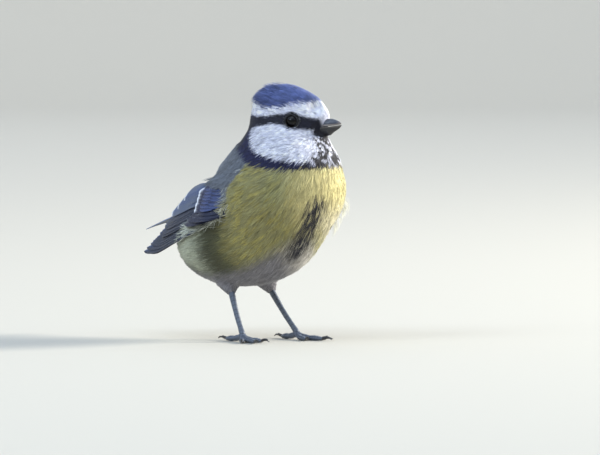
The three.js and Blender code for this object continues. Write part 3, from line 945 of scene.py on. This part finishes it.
def flight_colour(s, a):
    """a runs from -1, the inner web, to 1, the outer edge that shows in the folded wing."""
    rgb = mix(WING["dark"], WING["flight"], step(a, -0.6, 0.2))
    return mix(rgb, WING["steel"], step(a, 0.35, 0.8) * (1 - 0.6 * step(s, 0.8, 1)))


def tertial_colour(s, a):
    rgb = mix(WING["flight"], WING["tertial"], step(np.abs(a), 0.2, 0.8))
    return mix(rgb, WING["tip"], step(s + 0.06 * np.abs(a), 0.94, 0.99))


def great_colour(s, a):
    rgb = mix(WING["covert_dark"], WING["covert"], step(a, -0.5, 0.6))
    return mix(rgb, WING["tip"], step(s + 0.03 * a, 0.81, 0.87))


def covert_colour(s, a):
    rgb = mix(WING["covert_dark"], WING["covert"], step(np.abs(a), 0.1, 0.8))
    return mix(rgb, WING["covert_dark"], 0.5 * step(s, 0.85, 1))


def primary_colour(s, a):
    return mix(WING["covert_dark"] * 0.7, WING["covert"], step(a, 0.5, 0.95))


def alula_colour(s, a):
    return mix(WING["covert_dark"] * 0.7, WING["tip"], step(a, 0.72, 0.95) * step(s, 0.45, 0.7))


def tail_colour(s, a):
    rgb = mix(WING["flight"] * 0.7, WING["tail"], step(a, -0.7, 0.5))
    return mix(rgb, WING["steel"], step(a, 0.6, 0.95))


# %% Wings
def on_wing(x, z, lift, sign):
    out = np.interp(x, WING_X, WING_OUT) + WING_LEAN * (np.interp(x, WING_X, WING_MIDDLE) - z) + lift
    return np.column_stack([x, sign * out, z])


ROOT_DIP = 2.6  # the roots sink into the plumage they grow from, in millimetres
# count, first and last root, first and last tip (as x, z on the wing), width, roll, lift, bow, kind,
# colour. Roll is in degrees. Lift is how far the row lies outside the folded wing's curve, and bow how far
# its shafts curve upward.
WING_ROWS = [
    (8, (-3, 42), (1, 38.6), (-44.5, 32.6), (-53.3, 27.2), 4.0, 15, 0.3, -0.8, "flight", flight_colour),
    (1, (1, 38.4), (1, 38.4), (-48.5, 26.8), (-48.5, 26.8), 3.0, 15, 0.1, -0.8, "flight", flight_colour),
    (6, (-2, 46.5), (-1, 42.6), (-37.8, 38.6), (-43.6, 33.4), 5.0, 15, 0.7, -0.5, "flight", flight_colour),
    (3, (-4, 49.4), (-2, 47), (-24.5, 45.2), (-36, 40.4), 6.4, 10, 1.3, 0.4, "covert", tertial_colour),
    (6, (4, 42.8), (5, 40), (-9.5, 41.2), (-13.5, 37.8), 2.6, 15, 1.1, -0.3, "flight", primary_colour),
    (8, (4, 50.4), (4, 43.6), (-8.7, 47.8), (-7.5, 42.2), 2.9, 13, 1.9, -0.2, "covert", great_colour),
    (3, (10, 42.6), (10, 41), (-3.5, 41.6), (-7.5, 39.8), 2.4, 14, 2.0, -0.3, "flight", alula_colour),
    (7, (9, 51.4), (8, 44), (-3.6, 49.6), (-2.6, 43), 3.2, 12, 2.5, 0, "covert", covert_colour),
    (7, (13, 51.8), (12, 45), (2.4, 50.8), (3.0, 43.8), 3.0, 10, 2.7, 0, "covert", covert_colour),
]
feather_material = vane_material()


def rolled(normal, along, degrees):
    """A feather's normal turned about its shaft."""
    angle = math.radians(degrees)
    return normal * math.cos(angle) + np.cross(along, normal) * math.sin(angle)


def wing_vanes(sign):
    vanes = []
    for count, root_a, root_b, tip_a, tip_b, width, roll, lift, bow, kind, colour in WING_ROWS:
        for i in range(count):
            part = i / (count - 1) if count > 1 else 0
            root = np.array(root_a) * (1 - part) + np.array(root_b) * part + rng.normal(0, 0.12, 2)
            tip = np.array(tip_a) * (1 - part) + np.array(tip_b) * part + rng.normal(0, 0.2, 2)
            run = root + (tip - root) * ALONG[:, None]
            z = run[:, 1] + bow * np.sin(math.pi * ALONG)
            dip = ROOT_DIP * np.maximum(1 - ALONG / 0.4, 0) ** 2
            path = on_wing(run[:, 0], z, lift - dip - 0.05 * part, sign)
            flat = unit(np.array([0.12, sign, WING_LEAN]))
            normal = rolled(flat, unit(path[-1] - path[0]), -sign * (roll + rng.normal(0, 1)))
            shaft = 0.35 * -sign if kind == "flight" else 0
            look = dict(width=width, shaft=shaft, kind=kind, colour=colour, outer=-sign)
            vanes.append(dict(path=path, normal=normal, **look))
    return vanes


wing_pieces = []
for side_name, side_sign in (("left", 1), ("right", -1)):
    vanes, node_name = wing_vanes(side_sign), f"wing_{side_name}"
    name = f"wing_feathers_{side_name}"
    wing_pieces.append(feathers(name, vanes, feather_material, [node_name]))


# %% Tail
def tail_vanes():
    vanes = []
    for pair in range(5, -1, -1):
        for sign in (1, -1):
            drop, longer = -0.34 * pair, -2.2 * pair / 5
            root = np.array([-20, sign * (0.5 + 0.35 * pair), 45 + 0.6 * drop])
            tip = np.array([-54.5 + longer, sign * (1.3 + 0.85 * pair), 35.6 + drop])
            path = root + (tip - root) * ALONG[:, None]
            path[:, 2] += 0.9 * np.sin(math.pi * ALONG)
            normal = rolled(unit(np.array([-0.25, 0, 1.0])), unit(tip - root), sign * (5 + 1.5 * pair))
            look = dict(width=5.4, shaft=0.3 * sign, kind="flight", colour=tail_colour, outer=sign)
            vanes.append(dict(path=path, normal=normal, **look))
    return vanes


feathers("tail_feathers", tail_vanes(), feather_material, ["tail"])

# %% [markdown]
# The body's coat comes after the wings, because part of it lies over them: feathers of the shoulder cover
# the roots of the coverts, and loose white-tipped barbs of the breast's side curl over the wing's front and
# lower edge.


# %% Coat of the body
def body_density(places):
    covered = step(wing_cover(places), 0.5, 3)
    back = step(-(places[:, 0] + 0.6 * (60 - places[:, 2])), -6, 6)
    return (1 - headness(places)) ** 2 * (1 - 0.94 * covered) * (1 - 0.35 * back)


def body_shape(at):
    """Length, width and lift of the body's tufts."""
    x, y, z = at.T
    length = course(z, [14, 16, 18, 21, 30, 45, 58], [1.1, 1.5, 2.6, 5.0, 6.4, 5.4, 3.6])
    length = length + 1.4 * step(-x, -8, 10) * step(z, 24, 32)
    lift = course(z, [14, 18, 26, 40, 56], [6, 12, 13, 12, 10])
    on_back = step(wing_cover(at) + (z - 46), -2, 4) * step(-x, -14, -4) * fade(z, 47, 53)
    nape = step(10 - x, 0, 8) * step(z, 48, 54)
    width = course(z, [14, 18, 26, 60], [0.14, 0.2, 0.24, 0.2])
    by_wing = step(np.abs(y), 11, 14) * step(x, 6, 9) * fade(x, 15, 19) * step(z, 36, 40) * fade(z, 50, 53)
    length = length * (1 - 0.4 * by_wing)
    return length * (1 - 0.2 * on_back), width, lift * (1 - 0.3 * on_back) + 9 * nape


roots = scatter(22000, body_density)
length, width, lift = body_shape(roots[0])
grow("coat_body_under", roots, length * 0.7, width * 1.5, lift * 0.6, 0.3, 12, 2, fan=6)
roots = scatter(46000, body_density)
length, width, lift = body_shape(roots[0])
grow("coat_body", roots, length, width, lift, 0.45, 8, 3, curl=0.04, fan=6)


# %% Feathers that lie over the wings
def outer_surface():
    """One search tree of the skin and the wings' upper faces."""
    places, faces = [skin_places], [skin_corners]
    for wing in wing_pieces:
        spots, _ = vertex_arrays(wing)
        mesh = wing.data
        outward = [p for p in mesh.polygons if p.normal.y * spots[p.vertices[0]][1] > 0]
        corners = np.array([p.vertices[:] for p in outward])
        start = sum(len(p) for p in places)
        places.append(spots)
        faces.append(np.concatenate([corners[:, :3], corners[:, [0, 2, 3]]]) + start)
    points, triangles = np.concatenate(places), np.concatenate(faces)
    return BVHTree.FromPolygons([Vector(p) for p in points], triangles.tolist())


outer_tree = outer_surface()
FRINGE_X, FRINGE_Z = [-14, -6, 1, 9, 12.5, 12.5, 16.5], [34.5, 36.4, 37.8, 41, 46.8, 50.5, 57]


def fringe_gap(places):
    """Distance from the line where breast feathers overlap the wing, in millimetres."""
    line = np.column_stack([FRINGE_X, FRINGE_Z])
    fine = np.column_stack([np.interp(np.linspace(0, 6, 80), range(7), line[:, i]) for i in (0, 1)])
    gaps = lengths(places[:, None, [0, 2]] - fine[None])
    return np.where(np.abs(places[:, 1]) > 7, gaps.min(1), 99)


def fringe_density(places):
    gap = fringe_gap(places)
    return np.exp(-((gap / 1.4) ** 2)) * (gap < 4)


def shoulder_density(places):
    cover = wing_cover(places)
    above = step(places[:, 2] - 0.12 * places[:, 0], 46, 50)
    return step(cover, -5, -1) * fade(cover, -0.5, 0.8) * above


roots = scatter(7000, shoulder_density)
length, width, lift = body_shape(roots[0])
grow(
    "coat_shoulder", roots, length * 1.15, width, lift, 0.5, 18, 3,
    fan=8, over_wing=outer_tree,
)
roots = scatter(1000, fringe_density)
count = len(roots[0])
length = rng.uniform(2.8, 6, count) + 1.5 * step(5 - roots[0][:, 0], 0, 8)
pale = (COAT["fringe"], np.where(rng.random(count) < 0.6, rng.uniform(0.4, 0.9, count), 0.1))
grow(
    "coat_fringe", roots, length, np.full(count, 0.115), np.full(count, 7.0), 0.25, 6, 5,
    curl=0.05, fan=12, over_wing=outer_tree, tint=pale,
)

# %% [markdown]
# Wind has lifted a few long pale barbs off the left side of the breast, so they stand clear of the coat.


# %% Loose tufts
def loose_tuft(name, heart, count, spread, stand):
    """Barbs that stand up from about heart, stand degrees off the skin."""

    def near(places):
        return np.exp(-((lengths(places - heart) / spread) ** 2))

    roots = scatter(count, near)
    length, width = rng.uniform(4, 7.5, count), np.full(count, 0.13)
    pale = (COAT["fringe"], np.full(count, 0.5))
    lift = rng.uniform(stand - 10, stand + 10, count)
    grow(name, roots, length, width, lift, 0.75, count / 3, 4, curl=0.08, fan=8, tint=pale)


loose_tuft("loose_tuft_upper", np.array([27, 16.5, 44.5]), 44, 1.8, 42)
loose_tuft("loose_tuft_lower", np.array([25.5, 15.0, 38.6]), 34, 1.5, 50)

# %% [markdown]
# Horn, scale and eye are hard and bare, so their light is crisper than the plumage's. The solids give their
# true shapes with flat facets; wrapped and smoothed copies round the facets off, and their colours and
# scutes are told in the same way as the markings.


# %% Bill
def horn_material(name, roughness, coat):
    """Keratin of bill, scale and claw: a waxy gloss over fine growth lines."""
    material, tree, shader = painted_material(
        name, Roughness=roughness, IOR=1.54, Coat_Weight=coat, Coat_Roughness=0.25
    )
    # Growth lines and pits of about a tenth of a millimetre.
    grain(tree, shader, "ShaderNodeTexNoise", "Fac", {"Scale": 6000, "Detail": 5}, 0.25, 0.00005)
    return material


horn = horn_material("bill_horn", 0.34, 0.25)
head_solid = copies("head_solid", ["head"])
head_spots, _ = vertex_arrays(head_solid)
head_faces = [p.vertices[:] for p in head_solid.data.polygons]
frame_head = BVHTree.FromPolygons([Vector(p) for p in head_spots], head_faces)
bpy.data.objects.remove(head_solid)


def bare_part(name, nodes, voxel, rounds, material, paint_it, swell=0.0, root=None):
    """A wrapped copy of bare solids. paint_it gives its colours and how far it is pushed out."""
    piece = wrap(copies(name, nodes), voxel, rounds, swell)
    places, normals = vertex_arrays(piece)
    rgb, push = paint_it(places, normals)
    if root:
        places = root(places)
    places = places + normals * np.reshape(push - swell, (-1, 1))
    piece.data.vertices.foreach_set("co", metres(places).ravel())
    piece.data.update()
    set_colours(piece.data, rgb)
    piece.data.materials.append(material)
    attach(piece, "root")
    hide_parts(*nodes)
    print(name, len(piece.data.polygons), "faces")


HORN = palette(
    grey="#343a49",
    ridge="#23252e",
    upper_edge="#9a8f88",
    tip="#8b8078",
    lower="#18181d",
    lower_edge="#5e5853",
    scute="#5d6676",
    seam="#2f343f",
    sole="#4a4f58",
    claw="#29272a",
    claw_tip="#55504d",
)


def upper_bill_paint(places, normals):
    hx, _, hz = to_head(places).T
    rgb = np.tile(HORN["grey"], (len(places), 1))
    rgb = paint(rgb, HORN["ridge"], step(hz, -0.6, 0.4) * step(15 - hx, 0, 2))
    rgb = paint(rgb, HORN["upper_edge"], fade(hz + 2.5, 0.25, 1.0) * step(hx, 12.4, 14.5) * 0.7)
    return paint(rgb, HORN["tip"], step(hx, 16.6, 18) * 0.6), 0


def lower_bill_paint(places, normals):
    hz = to_head(places)[:, 2]
    rgb = np.tile(HORN["lower"], (len(places), 1))
    return paint(rgb, HORN["lower_edge"], fade(-2.7 - hz, 0.05, 0.5) * 0.7), 0


def deep_root(places):
    """The bill's root runs on under the feathers: all within 1.3 mm of the head is stretched back by up to
    2.6 mm, and the base's lower side also goes down by up to 0.8 mm."""
    gap = np.array([frame_head.find_nearest(Vector(p))[3] for p in places])
    hx, _, hz = to_head(places).T
    deep = 0.8 * fade(hx, 12.2, 16) * step(-hz, 3, 5)
    back = 2.6 * fade(gap, 0.45, 1.3)
    return places - HEAD_AXES[:, 0] * back[:, None] - HEAD_AXES[:, 2] * deep[:, None]


bare_part("bill_upper_horn", ["bill_upper"], 0.11, 5, horn, upper_bill_paint, root=deep_root)
bare_part("bill_lower_horn", ["bill_lower"], 0.11, 5, horn, lower_bill_paint, root=deep_root)

# %% Eyes and lids
EYE_RADIUS = 2.2
LID_OUT = 1.22  # from the eye's centre to the middle of the lids' ring
LID_RADIUS, LID_THICK = 2.08, 0.27


def eye_axis(sign):
    return unit(HEAD_AXES @ np.array([0.16, sign, 0.04]))


def set_in_head(obj, places, sign, out):
    """Turns places so that their Z looks out of the eye, and moves them out from its centre."""
    turn = Vector((0, 0, 1)).rotation_difference(Vector(eye_axis(sign))).to_matrix()
    centre = from_head(EYE_IN_HEAD * [1, sign, 1]) + eye_axis(sign) * out
    obj.data.vertices.foreach_set("co", metres(places @ np.array(turn).T + centre).ravel())
    bpy.ops.object.shade_smooth()


def wet_eye(name, sign):
    """Cornea over a very dark iris: almost black, and mirror-smooth with tears."""
    bpy.ops.mesh.primitive_uv_sphere_add(segments=48, ring_count=32, radius=EYE_RADIUS * MM)
    eye = bpy.context.object
    eye.name = name
    places = own_places(eye) / MM
    out = places[:, 2] / EYE_RADIUS
    places[:, 2] += 0.12 * step(out, 0.7, 1)
    iris = (out > 0.35) & (out < 0.86)
    set_colours(eye.data, np.where(iris[:, None], linear("#0c0806"), linear("#030304")))
    set_in_head(eye, places, sign, 0)
    eye.data.materials.append(eye_material)
    return eye


def lid_ring(name, sign):
    """Lids round the eye, with small folds."""
    bpy.ops.mesh.primitive_torus_add(
        major_segments=56, minor_segments=12, major_radius=LID_RADIUS * MM, minor_radius=LID_THICK * MM
    )
    ring = bpy.context.object
    ring.name = name
    places = own_places(ring) / MM
    angle = np.arctan2(places[:, 1], places[:, 0])
    places[:, :2] *= (1 + 0.012 * np.sin(17 * angle))[:, None]
    places[:, 2] += 0.05 * np.sin(13 * angle)
    set_in_head(ring, places, sign, LID_OUT)
    ring.data.materials.append(lid_material)
    return ring


eye_material, _, _ = painted_material("wet_cornea", Roughness=0.03, IOR=1.376, Specular_IOR_Level=0.42)
lid_material, lid_tree, lid_shader = new_material("lid_skin", Base_Color="#101117", Roughness=0.7)
# Lid creases are about 0.2 mm apart.
grain(lid_tree, lid_shader, "ShaderNodeTexVoronoi", "Distance", {"Scale": 5000}, 0.2, 0.00008)
for side_name, side_sign in (("left", 1), ("right", -1)):
    eye = wet_eye(f"cornea_{side_name}", side_sign)
    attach(eye, "root")
    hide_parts(f"eye_{side_name}")
    ring = lid_ring(f"lids_{side_name}", side_sign)
    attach(ring, "root")

# %% Legs, feet and claws
scales = horn_material("leg_scales", 0.5, 0.1)
claw_horn = horn_material("claw_horn", 0.3, 0.3)


SHANK_SCUTE, TOE_SCUTE = 1.7, 1.05  # how long the plates are, in millimetres


def leg_paint(places, normals):
    """Scutes: overlapping plates down the front of the shank and over each toe."""
    mirrored = places.copy()
    mirrored[:, 1] = np.abs(mirrored[:, 1])
    run = (mirrored - HEEL) @ unit(ANKLE - HEEL)
    on_foot = step(run, 14.6, 16.2)
    spread = lengths((mirrored - ANKLE)[:, :2])
    measure = np.where(on_foot > 0.5, spread / TOE_SCUTE, run / SHANK_SCUTE)
    saw = measure - np.floor(measure)
    front = step(normals @ unit(np.array([0.78, 0, 0.62])), -0.2, 0.5)
    rgb = np.tile(HORN["scute"], (len(places), 1))
    seam = fade(saw, 0.04, 0.2) * (0.35 + 0.65 * front)
    rgb = paint(rgb, HORN["seam"], seam * 0.8)
    rgb = paint(rgb, HORN["sole"], fade(places[:, 2], 0.2, 1.2) * 0.5)
    push = 0.09 * (saw - 0.5) * (0.3 + 0.7 * front) + 0.1
    return rgb, push * step(places[:, 2], 0.15, 0.7)


CLAW_STARTS = (8.86, 8.66, 11.46, 9.26)  # how far from the ankle the four claws begin, in millimetres


def claw_root(places):
    """A claw's root sits inside the toe's last pad."""
    ankle = ANKLE * [1, np.sign(places[0, 1]), 1]
    away = (places - ankle) * [1, 1, 0]
    reach = lengths(away)
    gap = np.min([np.abs(reach - start) for start in CLAW_STARTS], axis=0)
    return places - unit(away) * (0.7 * fade(gap, 0.3, 0.9))[:, None]


def claw_paint(places, normals):
    rgb = np.tile(HORN["claw"], (len(places), 1))
    return paint(rgb, HORN["claw_tip"], fade(places[:, 2], 0.3, 0.9)), 0


for side_name in ("left", "right"):
    nodes = [f"shank_{side_name}", f"foot_{side_name}"]
    bare_part(f"leg_{side_name}", nodes, 0.16, 4, scales, leg_paint, swell=0.17)
    nodes = [f"claw_{side_name}_{t}" for t in ("hind", "inner", "middle", "outer")]
    bare_part(f"claws_{side_name}", nodes, 0.09, 3, claw_horn, claw_paint, root=claw_root)
